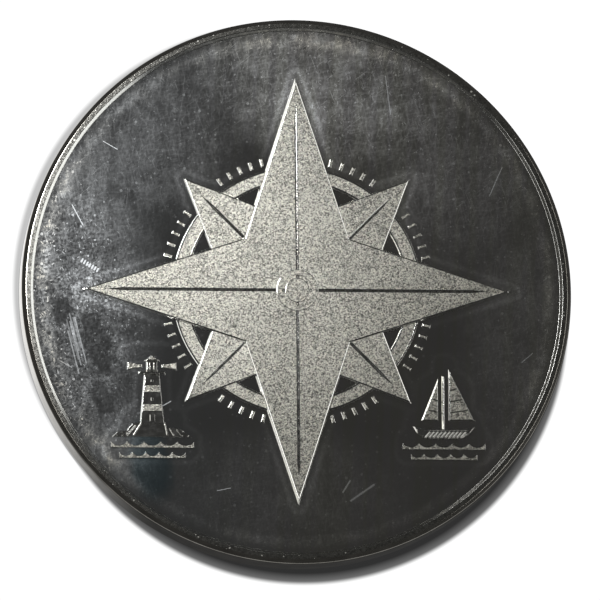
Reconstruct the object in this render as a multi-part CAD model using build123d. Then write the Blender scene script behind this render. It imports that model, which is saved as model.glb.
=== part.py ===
# A struck commemorative coin: one piece of metal, lying on its reverse.
# Millimetres, +Z up, the design's top towards +Y, the origin at the middle of the underside.
from build123d import *
import math
import os

# Blank
coin_diameter = 45.0
coin_thickness = 3.6
edge_bevel = 0.36       # sloped outer side of each rim, seen from above, and its height
edge_round = 0.40       # rounding where that slope turns into the plain edge
rim_land = 0.37         # flat top of each raised rim
rim_bevel = 0.22        # sloped inner side of each rim, seen from above
rim_height = 0.31       # each field lies this far below its rim land
rim_crest = 0.08        # rounding where the land turns into a slope
rim_foot = 0.08         # rounding where the inner slope turns into the field

# Struck relief in general
seat = 0.05             # a relief wall starts this far below the field, so that the metal is one
bold_draft = 28.0       # lean of the walls of the bold forms, in degrees from upright
fine_draft = 26.0       # lean of the walls of the fine forms

# Compass rose: four long points over four short ones, and a boss over their middle
point_count = 4
long_reach = 17.8       # centre to tip
long_waist = 6.2        # centre to the notch between two points
long_height = 0.28
short_reach = 13.2
short_waist = 5.8
short_height = 0.17
groove_width = 0.26     # cut along the middle of every point
groove_depth = 0.11
groove_margin = 1.9     # metal left between the groove's end and the tip
boss_radius = 1.7
boss_height = 0.30

# Graduated ring behind the points
ring_radius = 9.6       # middle of the band
ring_width = 1.3
ring_height = 0.10
tick_count = 72         # ticks in a full turn, before those under the points are left out
tick_gap = 0.30         # field left between the band and the ticks
tick_length = 0.75
tick_width = 0.34
tick_height = 0.08
tick_clear = 2.0        # degrees of bare field kept between a tick and a point of the rose

# Two small pictures, low on the left and low on the right
picture_across = 11.9   # centre line of the coin to the middle of each picture
picture_drop = 13.9     # centre of the coin down to the foot of each picture
picture_width = 6.8
ground_height = 0.10    # relief of waves and rocks
middle_height = 0.17    # relief of tower, hull and sails
front_height = 0.22     # relief of gallery and mast

# Waves: rows of hollow arcs with sharp crests
wave_crests = 5
wave_rise = 0.34        # depth of each hollow below its crests
wave_body = 0.22        # metal under the lowest point of a hollow
wave_rows = 2
wave_pitch = 0.85       # from one row to the next

# Lighthouse
rock_rise = 1.5
tower_sink = 0.45       # the tower starts this far below the top of its rocks
tower_foot = 2.1
tower_head = 1.35
tower_rise = 4.1
gallery_width = 2.3
gallery_thickness = 0.36
lantern_width = 1.0
lantern_rise = 0.75
cap_width = 1.5
cap_rise = 0.62
beam_length = 1.3
beam_start = 0.3        # height of a beam of light beside the lantern
beam_end = 0.75         # and at its far end
beam_gap = 0.25

# Sailing boat
hull_length = 5.2
hull_depth = 1.15
mast_width = 0.34
mast_rise = 5.3
sail_gap = 0.22         # field between the mast and each sail
main_foot = 2.2
main_rise = 4.5
jib_foot = 1.5
jib_rise = 3.7
sail_lift = 0.35        # field between the hull and the feet of the sails

coin_radius = coin_diameter / 2
field_radius = coin_radius - edge_bevel - rim_land - rim_bevel
field_level = coin_thickness - rim_height

# Rocks under the tower: shares of picture_width across, and of rock_rise up
rock_outline = [
    (-0.50, 0.00),
    (-0.42, 0.34),
    (-0.31, 0.42),
    (-0.24, 0.80),
    (-0.08, 1.00),
    (0.10, 0.94),
    (0.19, 0.60),
    (0.33, 0.52),
    (0.40, 0.20),
    (0.50, 0.00),
]

# Hull seen from the side: shares of hull_length across, and of hull_depth up
hull_outline = [
    (-0.50, 1.00),
    (-0.42, 0.38),
    (-0.30, 0.00),
    (0.28, 0.00),
    (0.42, 0.40),
    (0.50, 0.92),
    (0.20, 0.80),
    (-0.16, 0.80),
]


def blank():
    """The coin without relief: edge, rims and fields, turned about its axis."""
    lower_rim = [
        (field_radius, rim_height),
        (field_radius + rim_bevel, 0),
        (coin_radius - edge_bevel, 0),
        (coin_radius, edge_bevel),
    ]
    upper_rim = [(radius, coin_thickness - height) for radius, height in reversed(lower_rim)]
    roundings = [rim_foot, rim_crest, rim_crest, edge_round]
    with BuildPart() as made:
        with BuildSketch(Plane.XZ):
            with BuildLine():
                FilletPolyline(
                    (0, rim_height),
                    *lower_rim,
                    *upper_rim,
                    (0, field_level),
                    radius=roundings + roundings[::-1],
                )
                Line((0, field_level), (0, rim_height))
            make_face()
        revolve(axis=Axis.Z)
    return made.part


def raised(outline, height, draft, place=(0, 0)):
    """A relief form: an outline at the foot, leaning walls and a flat top."""
    foot = Pos(place[0], place[1], field_level - seat) * Polygon(*outline, align=None)
    return extrude(foot, amount=height + seat, taper=draft)


def box_outline(left, right, low, high):
    """The four corners of an upright bar."""
    return [(left, low), (right, low), (right, high), (left, high)]


def star_outline(reach, waist, turn):
    """Tips and notches of a star with point_count points, the first tip turned from +X."""
    step = 180 / point_count
    corners = []
    for index in range(2 * point_count):
        angle = math.radians(turn + index * step)
        radius = reach if index % 2 == 0 else waist
        corners.append((radius * math.cos(angle), radius * math.sin(angle)))
    return corners


def star(reach, waist, height, turn):
    """A flat star with a groove along the middle of every point."""
    plate = raised(star_outline(reach, waist, turn), height, bold_draft)
    top = field_level + height
    half = groove_width / 2
    section = Plane.YZ * Polygon((-half, top), (half, top), (0, top - groove_depth), align=None)
    groove = extrude(section, amount=reach - groove_margin)
    return plate - [Rot(0, 0, turn + index * 360 / point_count) * groove for index in range(point_count)]


def rose():
    """Short points, long points over them, and the boss over their middle."""
    short_points = star(short_reach, short_waist, short_height, 90 + 180 / point_count)
    long_points = star(long_reach, long_waist, long_height, 90)
    boss_foot = boss_radius + (boss_height + seat) * math.tan(math.radians(bold_draft))
    boss = Pos(0, 0, field_level - seat) * Cone(
        boss_foot, boss_radius, boss_height + seat, align=(Align.CENTER, Align.CENTER, Align.MIN)
    )
    return short_points + long_points + boss


def ring():
    """The flat band of the graduated ring, turned about the coin's axis."""
    inner = ring_radius - ring_width / 2
    outer = ring_radius + ring_width / 2
    lean = (ring_height + seat) * math.tan(math.radians(fine_draft))
    section = Plane.XZ * Polygon(
        (inner, field_level - seat),
        (outer, field_level - seat),
        (outer - lean, field_level + ring_height),
        (inner + lean, field_level + ring_height),
        align=None,
    )
    return revolve(section, axis=Axis.Z)


def half_angle(reach, waist, radius):
    """Half the angle that one point of a star covers at a radius, in degrees."""
    notch = math.radians(180 / point_count)
    notch_along = waist * math.cos(notch)
    notch_aside = waist * math.sin(notch)
    aside = notch_aside * (reach - radius) / (reach - notch_along)
    return math.degrees(math.atan(aside / radius))


def ticks():
    """Short bars round the ring wherever no point of the rose covers it."""
    start = ring_radius + ring_width / 2 + tick_gap
    outline = box_outline(start, start + tick_length, -tick_width / 2, tick_width / 2)
    bar = raised(outline, tick_height, fine_draft)
    long_cover = half_angle(long_reach, long_waist, start) + tick_clear
    short_cover = half_angle(short_reach, short_waist, start) + tick_clear
    spread = 360 / point_count
    bars = []
    for index in range(tick_count):
        angle = index * 360 / tick_count
        from_long = abs((angle + spread / 2) % spread - spread / 2)
        from_short = spread / 2 - from_long
        if from_long >= long_cover and from_short >= short_cover:
            bars.append(Rot(0, 0, angle) * bar)
    return bars


def wave_row(width, place):
    """One row of waves: hollow arcs that meet in sharp crests, over a straight foot."""
    pitch = width / wave_crests
    left = -width / 2
    with BuildSketch() as face:
        with BuildLine():
            for index in range(wave_crests):
                start = left + index * pitch
                ThreePointArc(
                    (start, wave_body + wave_rise),
                    (start + pitch / 2, wave_body),
                    (start + pitch, wave_body + wave_rise),
                )
            Polyline(
                (width / 2, wave_body + wave_rise),
                (width / 2, 0),
                (left, 0),
                (left, wave_body + wave_rise),
            )
        make_face()
    foot = Pos(place[0], place[1], field_level - seat) * face.sketch
    return extrude(foot, amount=ground_height + seat)


def waves(across):
    """The rows of waves at the foot of a picture, each lower row shorter than the one above."""
    rows = []
    for index in range(wave_rows):
        share = 1 - (wave_rows - 1 - index) / wave_crests
        place = (across, -picture_drop + index * wave_pitch)
        rows.append(wave_row(picture_width * share, place))
    return rows


def lighthouse():
    """Tower on its rocks, with gallery, lantern, cap and two beams of light."""
    across = -picture_across
    rock_foot = -picture_drop + wave_rows * wave_pitch
    tower_base = rock_foot + rock_rise - tower_sink
    tower_top = tower_base + tower_rise
    gallery_top = tower_top + gallery_thickness
    lantern_top = gallery_top + lantern_rise
    rocks = [(x * picture_width, y * rock_rise) for x, y in rock_outline]
    tower = [
        (-tower_foot / 2, tower_base),
        (tower_foot / 2, tower_base),
        (tower_head / 2, tower_top),
        (-tower_head / 2, tower_top),
    ]
    gallery = box_outline(-gallery_width / 2, gallery_width / 2, tower_top, gallery_top)
    lantern = box_outline(-lantern_width / 2, lantern_width / 2, gallery_top, lantern_top)
    cap = [(-cap_width / 2, lantern_top), (cap_width / 2, lantern_top), (0, lantern_top + cap_rise)]
    forms = [
        raised(rocks, ground_height, fine_draft, (across, rock_foot)),
        raised(tower, middle_height, fine_draft, (across, 0)),
        raised(gallery, front_height, fine_draft, (across, 0)),
        raised(lantern, middle_height, fine_draft, (across, 0)),
        raised(cap, front_height, fine_draft, (across, 0)),
    ]
    lamp = (gallery_top + lantern_top) / 2
    near = lantern_width / 2 + beam_gap
    far = near + beam_length
    for side in (-1, 1):
        beam = [
            (side * near, lamp - side * beam_start / 2),
            (side * far, lamp - side * beam_end / 2),
            (side * far, lamp + side * beam_end / 2),
            (side * near, lamp + side * beam_start / 2),
        ]
        forms.append(raised(beam, ground_height, fine_draft, (across, 0)))
    return forms


def sailing_boat():
    """Hull, mast, mainsail and jib above the waves."""
    across = picture_across
    hull_foot = -picture_drop + wave_rows * wave_pitch
    deck = hull_foot + hull_depth
    sail_foot = deck + sail_lift
    near = mast_width / 2 + sail_gap
    hull = [(x * hull_length, y * hull_depth) for x, y in hull_outline]
    mast = box_outline(-mast_width / 2, mast_width / 2, hull_foot + hull_depth / 2, hull_foot + mast_rise)
    mainsail = [(near, sail_foot), (near + main_foot, sail_foot), (near, sail_foot + main_rise)]
    jib = [(-near - jib_foot, sail_foot), (-near, sail_foot), (-near, sail_foot + jib_rise)]
    return [
        raised(hull, middle_height, fine_draft, (across, hull_foot)),
        raised(mast, front_height, fine_draft, (across, 0)),
        raised(mainsail, middle_height, fine_draft, (across, 0)),
        raised(jib, middle_height, fine_draft, (across, 0)),
    ]


def struck_coin():
    """The whole coin as one solid."""
    forms = [rose(), ring()] + ticks() + waves(-picture_across) + waves(picture_across)
    forms += lighthouse() + sailing_boat()
    return blank() + forms


os.makedirs("parts", exist_ok=True)
coin = struck_coin()
export_step(coin, "parts/struck_coin.step")
print("solids", len(coin.solids()), "volume", round(coin.volume, 2), "valid", coin.is_valid)
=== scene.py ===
import math

import bmesh
import bpy
from mathutils import Matrix, Vector


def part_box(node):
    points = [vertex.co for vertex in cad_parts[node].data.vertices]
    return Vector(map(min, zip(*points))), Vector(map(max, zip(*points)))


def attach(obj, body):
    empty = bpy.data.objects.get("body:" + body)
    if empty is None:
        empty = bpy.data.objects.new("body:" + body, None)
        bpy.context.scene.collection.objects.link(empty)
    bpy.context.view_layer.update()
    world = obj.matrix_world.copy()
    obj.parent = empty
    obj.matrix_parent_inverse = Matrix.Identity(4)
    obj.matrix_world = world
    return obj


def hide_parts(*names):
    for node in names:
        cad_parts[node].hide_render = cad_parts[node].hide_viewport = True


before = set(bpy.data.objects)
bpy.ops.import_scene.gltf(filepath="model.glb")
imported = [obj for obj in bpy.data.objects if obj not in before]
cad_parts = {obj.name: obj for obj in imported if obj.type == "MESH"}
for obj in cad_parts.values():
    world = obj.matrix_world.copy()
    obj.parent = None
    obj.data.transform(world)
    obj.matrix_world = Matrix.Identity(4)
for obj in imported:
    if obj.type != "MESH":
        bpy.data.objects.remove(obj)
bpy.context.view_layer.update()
low_corner, high_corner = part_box("struck_coin")

MM = 0.001

# Blank: its diameter and thickness come from the frame
coin_radius = (high_corner[0] - low_corner[0]) / 2 / MM
coin_thickness = (high_corner[2] - low_corner[2]) / MM
edge_bevel = 0.36       # sloped outer side of each rim, seen from above, and its height
edge_round = 0.40       # rounding where that slope turns into the plain edge
rim_land = 0.37
rim_bevel = 0.22        # sloped inner side of each rim, seen from above
rim_height = 0.31
rim_crest = 0.08        # rounding where the land turns into a slope
rim_foot = 0.08         # rounding where the inner slope turns into the field
field_radius = coin_radius - edge_bevel - rim_land - rim_bevel
field_level = coin_thickness - rim_height
round_steps = 384       # flats in a full turn
arc_steps = 5           # flats in a rounded corner of a turned profile

# Relief in general
seat = 0.05             # a form starts this far below the field
bold_lean = math.tan(math.radians(28.0))        # walls of bold forms and of details lean in by this
fine_lean = math.tan(math.radians(26.0))        # share of their height, and those of fine forms by this
bold_round = 0.07       # rounding along the crests of the bold forms
fine_round = 0.03       # and of the fine ones
detail_seat = 0.02      # a detail on top of a form starts this far inside it
detail_rise = 0.07
line_width = 0.16       # of the fine lines on top of the forms
round_segments = 3      # flats in a rounded crest
corner_turn = math.radians(30)  # walls that turn by more than this meet in a rounded corner
smooth_turn = math.radians(32)  # faces that turn by more than this meet in a crisp line
tolerance = 1e-4        # lengths that differ by less than this are the same
level_share = 0.999     # a face is level where more than this share of its normal points up
slope_share = 0.99      # and part of the rim's slopes where less than this share does

# Compass rose
point_count = 4         # long points, with as many short ones between them
rose_turn = 90          # the way of the first long point, in degrees from +X
long_reach = 17.8
long_waist = 6.2
long_height = 0.28
short_reach = 13.2
short_waist = 5.8
short_height = 0.17
groove_width = 0.26
groove_depth = 0.11
groove_margin = 1.9
groove_fade = 1.6       # the groove runs out over this length
groove_clear = 0.02     # the cutter stands this far above the metal
boss_radius = 1.7
boss_height = 0.30
boss_band = 0.45        # the part of the boss outside its turned line
boss_dip = 0.09         # depth of that line, and width of its bottom

# Graduated ring
ring_radius = 9.6
ring_width = 1.3
ring_height = 0.10
ring_line = 0.13        # polished line along each side of the frosted band
ring_step = 0.035       # depth of the band below the lines
tick_count = 72
tick_gap = 0.30
tick_length = 0.75
tick_width = 0.34
tick_height = 0.08
tick_clear = 2.0

# Two small pictures
picture_across = 11.9
picture_drop = 13.9
picture_width = 6.8
ground_height = 0.10
middle_height = 0.17
front_height = 0.22

# Waves
wave_crests = 5
wave_rise = 0.34
wave_body = 0.22
wave_rows = 2
wave_pitch = 0.85
wave_steps = 8          # flats in each hollow
wave_lean = math.tan(math.radians(6.0))

# Lighthouse
rock_rise = 1.5
tower_sink = 0.45
tower_foot = 2.1
tower_head = 1.35
tower_rise = 4.1
band_places = (0.26, 0.64)      # foot of each frosted band, as a share of tower_rise
band_share = 0.16               # its height, as a share of tower_rise
gallery_width = 2.3
gallery_thickness = 0.36
lantern_width = 1.0
lantern_rise = 0.75
glazing_place = 1 / 6   # of its two bars, from the middle, as a share of lantern_width
cap_width = 1.5
cap_rise = 0.62
beam_length = 1.3
beam_start = 0.3
beam_end = 0.75
beam_gap = 0.25

# Sailing boat
hull_length = 5.2
hull_depth = 1.15
mast_width = 0.34
mast_rise = 5.3
sail_gap = 0.22
main_foot = 2.2
main_rise = 4.5
jib_foot = 1.5
jib_rise = 3.7
sail_lift = 0.35
main_battens = 4
jib_battens = 3
batten_margin = 0.24
batten_drop = 0.22      # a batten starts this much lower at the mast

# Rocks: shares of picture_width across, and of rock_rise up
rock_outline = [
    (-0.50, 0.00),
    (-0.42, 0.34),
    (-0.31, 0.42),
    (-0.24, 0.80),
    (-0.08, 1.00),
    (0.10, 0.94),
    (0.19, 0.60),
    (0.33, 0.52),
    (0.40, 0.20),
    (0.50, 0.00),
]

# Cracks in the rocks, in the same shares: start across, start up, end across, end up
rock_cracks = [
    (-0.43, 0.10, -0.36, 0.30),
    (-0.37, 0.08, -0.28, 0.36),
    (-0.31, 0.08, -0.20, 0.66),
    (-0.23, 0.10, -0.13, 0.82),
    (0.15, 0.84, 0.18, 0.12),
    (0.21, 0.48, 0.26, 0.10),
    (0.29, 0.44, 0.36, 0.08),
    (0.36, 0.34, 0.43, 0.08),
]

# Door and windows of the tower: foot as a share of tower_rise, half width, height
tower_openings = [
    (0.06, 0.22, 0.60),
    (0.48, 0.13, 0.28),
    (0.85, 0.13, 0.24),
]

# Hull: shares of hull_length across, and of hull_depth up
hull_outline = [
    (-0.50, 1.00),
    (-0.42, 0.38),
    (-0.30, 0.00),
    (0.28, 0.00),
    (0.42, 0.40),
    (0.50, 0.92),
    (0.20, 0.80),
    (-0.16, 0.80),
]

# Ends of the plank line on the hull, in the same shares
plank_line = [(-0.43, 0.66), (0.44, 0.66)]

# Ribs below it: their number, and in the same shares their first and last foot across, how far each
# leans, and where they start and end up the hull
rib_count = 10
rib_ends = (-0.30, 0.26)
rib_lean = 0.09
rib_rise = (0.10, 0.54)

# The coin's finishes, in the order of its material slots
FIELD, FROST, POLISH, LAND, EDGE = range(5)


def polar(reach, turn):
    """The point at a distance from the axis, turned from +X by degrees."""
    angle = math.radians(turn)
    return reach * math.cos(angle), reach * math.sin(angle)


def rounded(corners, steps):
    """Points of a line through corners of (x, y, radius), each turned by an arc of its radius."""
    points = []
    for index, (x, y, radius) in enumerate(corners):
        here = Vector((x, y))
        if radius == 0:
            points.append(here)
            continue
        back = (Vector(corners[index - 1][:2]) - here).normalized()
        onward = (Vector(corners[index + 1][:2]) - here).normalized()
        half = back.angle(onward) / 2
        centre = here + (back + onward).normalized() * radius / math.sin(half)
        start = here + back * radius / math.tan(half) - centre
        end = here + onward * radius / math.tan(half) - centre
        turn = -start.angle_signed(end)
        for step in range(steps + 1):
            points.append(centre + Matrix.Rotation(turn * step / steps, 2) @ start)
    return points


def spun(profile, closed=False):
    """A body turned about Z from points of (radius, height)."""
    bm = bmesh.new()
    verts = [bm.verts.new((radius, 0, height)) for radius, height in profile]
    edges = [bm.edges.new(pair) for pair in zip(verts, verts[1:])]
    if closed:
        edges.append(bm.edges.new((verts[-1], verts[0])))
    bmesh.ops.spin(
        bm, geom=verts + edges, cent=(0, 0, 0), axis=(0, 0, 1), dvec=(0, 0, 0),
        angle=math.tau, steps=round_steps, use_merge=True,
    )
    bmesh.ops.remove_doubles(bm, verts=bm.verts, dist=tolerance)
    bmesh.ops.recalc_face_normals(bm, faces=bm.faces)
    return bm


def rim_profile():
    """The upper half of the blank's profile, from the edge wall in to the axis."""
    land_start = field_radius + rim_bevel
    land_end = coin_radius - edge_bevel
    corners = [
        (coin_radius, coin_thickness / 2, 0),
        (coin_radius, coin_thickness - edge_bevel, edge_round),
        (land_end, coin_thickness, rim_crest),
        (land_start, coin_thickness, rim_crest),
        (field_radius, field_level, rim_foot),
        (0, field_level, 0),
    ]
    return rounded(corners, arc_steps)


def blank():
    """The coin without relief. Both faces have the same rim."""
    upper = rim_profile()
    lower = [(radius, coin_thickness - height) for radius, height in upper]
    bm = spun(lower[:0:-1] + upper)
    for up in (1, -1):
        # The wedges that meet in the axis become one round face
        level = [face for face in bm.faces if face.normal.z * up > level_share]
        wedges = [face for face in level if min(vert.co.xy.length for vert in face.verts) < tolerance]
        bmesh.ops.dissolve_faces(bm, faces=wedges)
    for face in bm.faces:
        face.material_index = blank_finish(face)
    return bm


def blank_finish(face):
    """Which finish a face of the blank has, by where it lies."""
    radius = max(vert.co.xy.length for vert in face.verts)
    steep = abs(face.normal.z) < slope_share
    if radius <= field_radius + rim_bevel + rim_crest and steep:
        return POLISH
    if radius <= field_radius:
        return FIELD
    return EDGE if steep else LAND


def prism(outline, foot, top, inset, place=(0, 0)):
    """A closed form on its outline, from one level to another, with walls that lean in by inset."""
    bm = bmesh.new()
    corners = [bm.verts.new((x + place[0], y + place[1], foot)) for x, y in outline]
    face = bm.faces.new(corners)
    face.normal_update()
    if face.normal.z < 0:
        face.normal_flip()
    bmesh.ops.inset_region(
        bm, faces=[face], thickness=inset, depth=top - foot, use_boundary=True, use_even_offset=True
    )
    bmesh.ops.holes_fill(bm, edges=[edge for edge in bm.edges if edge.is_boundary])
    bmesh.ops.recalc_face_normals(bm, faces=bm.faces)
    return bm


def soften(bm, foot, width):
    """Rounds a form's crest and the sharp corners of its walls, but not its foot."""
    bm.normal_update()
    edges = []
    for edge in bm.edges:
        on_foot = all(abs(vert.co.z - foot) < tolerance for vert in edge.verts)
        if not on_foot and edge.calc_face_angle() > corner_turn:
            edges.append(edge)
    bmesh.ops.bevel(
        bm, geom=edges, offset=width, segments=round_segments, profile=0.5, affect="EDGES",
        material=-1, clamp_overlap=True,
    )


def raised(outline, height, finish, place=(0, 0), lean=fine_lean, softness=fine_round):
    """A relief form that rises from just under the field."""
    foot = field_level - seat
    bm = prism(outline, foot, field_level + height, (height + seat) * lean, place)
    soften(bm, foot, softness)
    return finished(bm, finish)


def detail(outline, height, finish, place=(0, 0)):
    """A fine form on top of another form of that height."""
    foot = field_level + height - detail_seat
    rise = detail_seat + detail_rise
    bm = prism(outline, foot, foot + rise, rise * bold_lean, place)
    soften(bm, foot, fine_round / 2)
    return finished(bm, finish)


def finished(bm, finish):
    """Gives a form's flat top its finish and polishes the rest."""
    bm.normal_update()
    for face in bm.faces:
        face.material_index = finish if face.normal.z > level_share else POLISH
    return bm


def box_outline(left, right, low, high):
    """The four corners of an upright bar."""
    return [(left, low), (right, low), (right, high), (left, high)]


def stroke(start, end, width=line_width):
    """The four corners of a thin bar from start to end."""
    start, end = Vector(start), Vector(end)
    aside = (end - start).orthogonal().normalized() * width / 2
    return [start - aside, end - aside, end + aside, start + aside]


def star_outline(reach, waist, turn):
    """Tips and notches of a star with point_count points, the first tip turned from +X."""
    step = 180 / point_count
    return [polar(waist if index % 2 else reach, turn + index * step) for index in range(2 * point_count)]


def groove(reach, height, turn):
    """The cutter of one groove: a V that runs out before the tip of its point."""
    top = field_level + height + groove_clear
    half = groove_width / 2 * (1 + groove_clear / groove_depth)
    length = reach - groove_margin
    bm = bmesh.new()
    for along in (0, length - groove_fade):
        for aside, level in ((-half, top), (half, top), (0, top - groove_clear - groove_depth)):
            bm.verts.new((along, aside, level))
    bm.verts.new((length, 0, top))
    bmesh.ops.convex_hull(bm, input=bm.verts)
    bmesh.ops.rotate(bm, verts=bm.verts, matrix=Matrix.Rotation(math.radians(turn), 3, "Z"))
    bmesh.ops.recalc_face_normals(bm, faces=bm.faces)
    for face in bm.faces:
        face.material_index = POLISH
    return bm


def grooves(reach, height, turn):
    """The cutters of a star's grooves."""
    return [groove(reach, height, turn + index * 360 / point_count) for index in range(point_count)]


def boss():
    """The turned boss over the middle of the rose."""
    foot = boss_radius + (boss_height + seat) * bold_lean
    top = field_level + boss_height
    inner = boss_radius - boss_band
    corners = [
        (0, field_level - seat, 0),
        (foot, field_level - seat, 0),
        (boss_radius, top, bold_round),
        (inner, top, 0),
        (inner - boss_dip, top - boss_dip, 0),
        (inner - 2 * boss_dip, top - boss_dip, 0),
        (inner - 3 * boss_dip, top, bold_round),
        (0, top, 0),
    ]
    return finished(spun(rounded(corners, round_segments)), FROST)


def ring():
    """The graduated ring: a frosted band between two polished lines."""
    inner = ring_radius - ring_width / 2
    outer = ring_radius + ring_width / 2
    foot = field_level - seat
    top = field_level + ring_height
    lean = (ring_height + seat) * fine_lean
    side = lean + ring_line
    corners = [
        (inner, foot, 0),
        (outer, foot, 0),
        (outer - lean, top, fine_round),
        (outer - side, top, fine_round),
        (outer - side - ring_step / 2, top - ring_step, 0),
        (inner + side + ring_step / 2, top - ring_step, 0),
        (inner + side, top, fine_round),
        (inner + lean, top, fine_round),
    ]
    bm = spun(rounded(corners + corners[:1], round_segments)[:-1], closed=True)
    for face in bm.faces:
        low = abs(face.calc_center_median().z - top + ring_step) < tolerance
        face.material_index = FROST if low and face.normal.z > level_share else POLISH
    return bm


def half_angle(reach, waist, radius):
    """Half the angle that one point of a star covers at a radius, in degrees."""
    notch_along, notch_aside = polar(waist, 180 / point_count)
    aside = notch_aside * (reach - radius) / (reach - notch_along)
    return math.degrees(math.atan(aside / radius))


def ticks():
    """Short bars round the ring wherever no point of the rose covers it."""
    start = ring_radius + ring_width / 2 + tick_gap
    outline = box_outline(start, start + tick_length, -tick_width / 2, tick_width / 2)
    long_cover = half_angle(long_reach, long_waist, start) + tick_clear
    short_cover = half_angle(short_reach, short_waist, start) + tick_clear
    spread = 360 / point_count
    bars = []
    for index in range(tick_count):
        angle = index * 360 / tick_count
        from_long = abs((angle + spread / 2) % spread - spread / 2)
        from_short = spread / 2 - from_long
        if from_long >= long_cover and from_short >= short_cover:
            bar = raised(outline, tick_height, FROST)
            turn = Matrix.Rotation(math.radians(angle), 3, "Z")
            bmesh.ops.rotate(bar, verts=bar.verts, matrix=turn)
            bars.append(bar)
    return bars


def wave_outline(width):
    """Hollow arcs that meet in sharp crests, over a straight foot."""
    pitch = width / wave_crests
    radius = (pitch ** 2 / 4 + wave_rise ** 2) / (2 * wave_rise)
    half = math.asin(pitch / 2 / radius)
    points = [(-width / 2, 0), (width / 2, 0)]
    for crest in range(wave_crests):
        middle = width / 2 - (crest + 0.5) * pitch
        for step in range(wave_steps):
            angle = half * (1 - 2 * step / wave_steps)
            rise = wave_body + radius * (1 - math.cos(angle))
            points.append((middle + radius * math.sin(angle), rise))
    points.append((-width / 2, wave_body + wave_rise))
    return points


def waves(across):
    """The rows of waves at the foot of a picture, each lower row shorter than the one above."""
    rows = []
    for index in range(wave_rows):
        share = 1 - (wave_rows - 1 - index) / wave_crests
        place = (across, -picture_drop + index * wave_pitch)
        outline = wave_outline(picture_width * share)
        rows.append(raised(outline, ground_height, FROST, place, lean=wave_lean))
    return rows


def tower_side(rise, base):
    """Half the tower's width at a height over its base."""
    return (tower_foot + (tower_head - tower_foot) * (rise - base) / tower_rise) / 2


def lighthouse():
    """Tower on its rocks, with gallery, lantern, cap and two beams of light, layer by layer."""
    place = (-picture_across, 0)
    rock_foot = -picture_drop + wave_rows * wave_pitch
    base = rock_foot + rock_rise - tower_sink
    tower_top = base + tower_rise
    gallery_top = tower_top + gallery_thickness
    lantern_top = gallery_top + lantern_rise
    rocks = [(x * picture_width, y * rock_rise) for x, y in rock_outline]
    tower = [
        (-tower_foot / 2, base),
        (tower_foot / 2, base),
        (tower_head / 2, tower_top + seat),
        (-tower_head / 2, tower_top + seat),
    ]
    gallery = box_outline(-gallery_width / 2, gallery_width / 2, tower_top, gallery_top)
    lantern = box_outline(-lantern_width / 2, lantern_width / 2, gallery_top - seat, lantern_top + seat)
    cap = [(-cap_width / 2, lantern_top), (cap_width / 2, lantern_top), (0, lantern_top + cap_rise)]
    lower = [
        raised(rocks, ground_height, POLISH, (place[0], rock_foot)),
        raised(gallery, front_height, POLISH, place),
        raised(cap, front_height, FROST, place),
    ]
    lower += beams(place, (gallery_top + lantern_top) / 2)
    upper = [
        raised(tower, middle_height, POLISH, place),
        raised(lantern, middle_height, POLISH, place),
    ]
    details = tower_details(place, base, gallery_top, lantern_top)
    for start_x, start_y, end_x, end_y in rock_cracks:
        start = (start_x * picture_width, start_y * rock_rise)
        end = (end_x * picture_width, end_y * rock_rise)
        details.append(detail(stroke(start, end), ground_height, POLISH, (place[0], rock_foot)))
    return lower, upper, details


def beams(place, lamp):
    """The two beams of light beside the lantern."""
    near = lantern_width / 2 + beam_gap
    far = near + beam_length
    made = []
    for side in (-1, 1):
        beam = [
            (side * near, lamp - side * beam_start / 2),
            (side * far, lamp - side * beam_end / 2),
            (side * far, lamp + side * beam_end / 2),
            (side * near, lamp + side * beam_start / 2),
        ]
        made.append(raised(beam, ground_height, FROST, place))
    return made


def tower_details(place, base, gallery_top, lantern_top):
    """Frosted bands, door and windows on the tower, and glazing bars on the lantern."""
    margin = (middle_height + seat) * fine_lean + fine_round
    made = []
    for share in band_places:
        low = base + share * tower_rise
        high = low + band_share * tower_rise
        low_side = tower_side(low, base) - margin
        high_side = tower_side(high, base) - margin
        band = [(-low_side, low), (low_side, low), (high_side, high), (-high_side, high)]
        made.append(detail(band, middle_height, FROST, place))
    for share, half, rise in tower_openings:
        sill = base + share * tower_rise
        made.append(detail(box_outline(-half, half, sill, sill + rise), middle_height, POLISH, place))
    for side in (-1, 1):
        bar = side * glazing_place * lantern_width
        outline = stroke((bar, gallery_top + seat), (bar, lantern_top - seat))
        made.append(detail(outline, middle_height, POLISH, place))
    return made


def battens(foot, rise, near, sail_foot, count):
    """Fine lines across a right-angled sail, level at the mast and rising to its free edge."""
    lines = []
    for index in range(1, count + 1):
        up = rise * index / (count + 1)
        reach = foot * (1 - up / rise) - batten_margin
        if reach > batten_margin:
            start = (near, sail_foot + up - batten_drop)
            end = (near + math.copysign(reach, near), sail_foot + up)
            lines.append(stroke(start, end))
    return lines


def ribs():
    """Slanting lines on the hull, below its plank line."""
    first, last = rib_ends
    low, high = rib_rise
    lines = []
    for index in range(rib_count):
        foot = first + (last - first) * index / (rib_count - 1)
        start = (foot * hull_length, low * hull_depth)
        end = ((foot + rib_lean) * hull_length, high * hull_depth)
        lines.append(stroke(start, end))
    return lines


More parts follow.
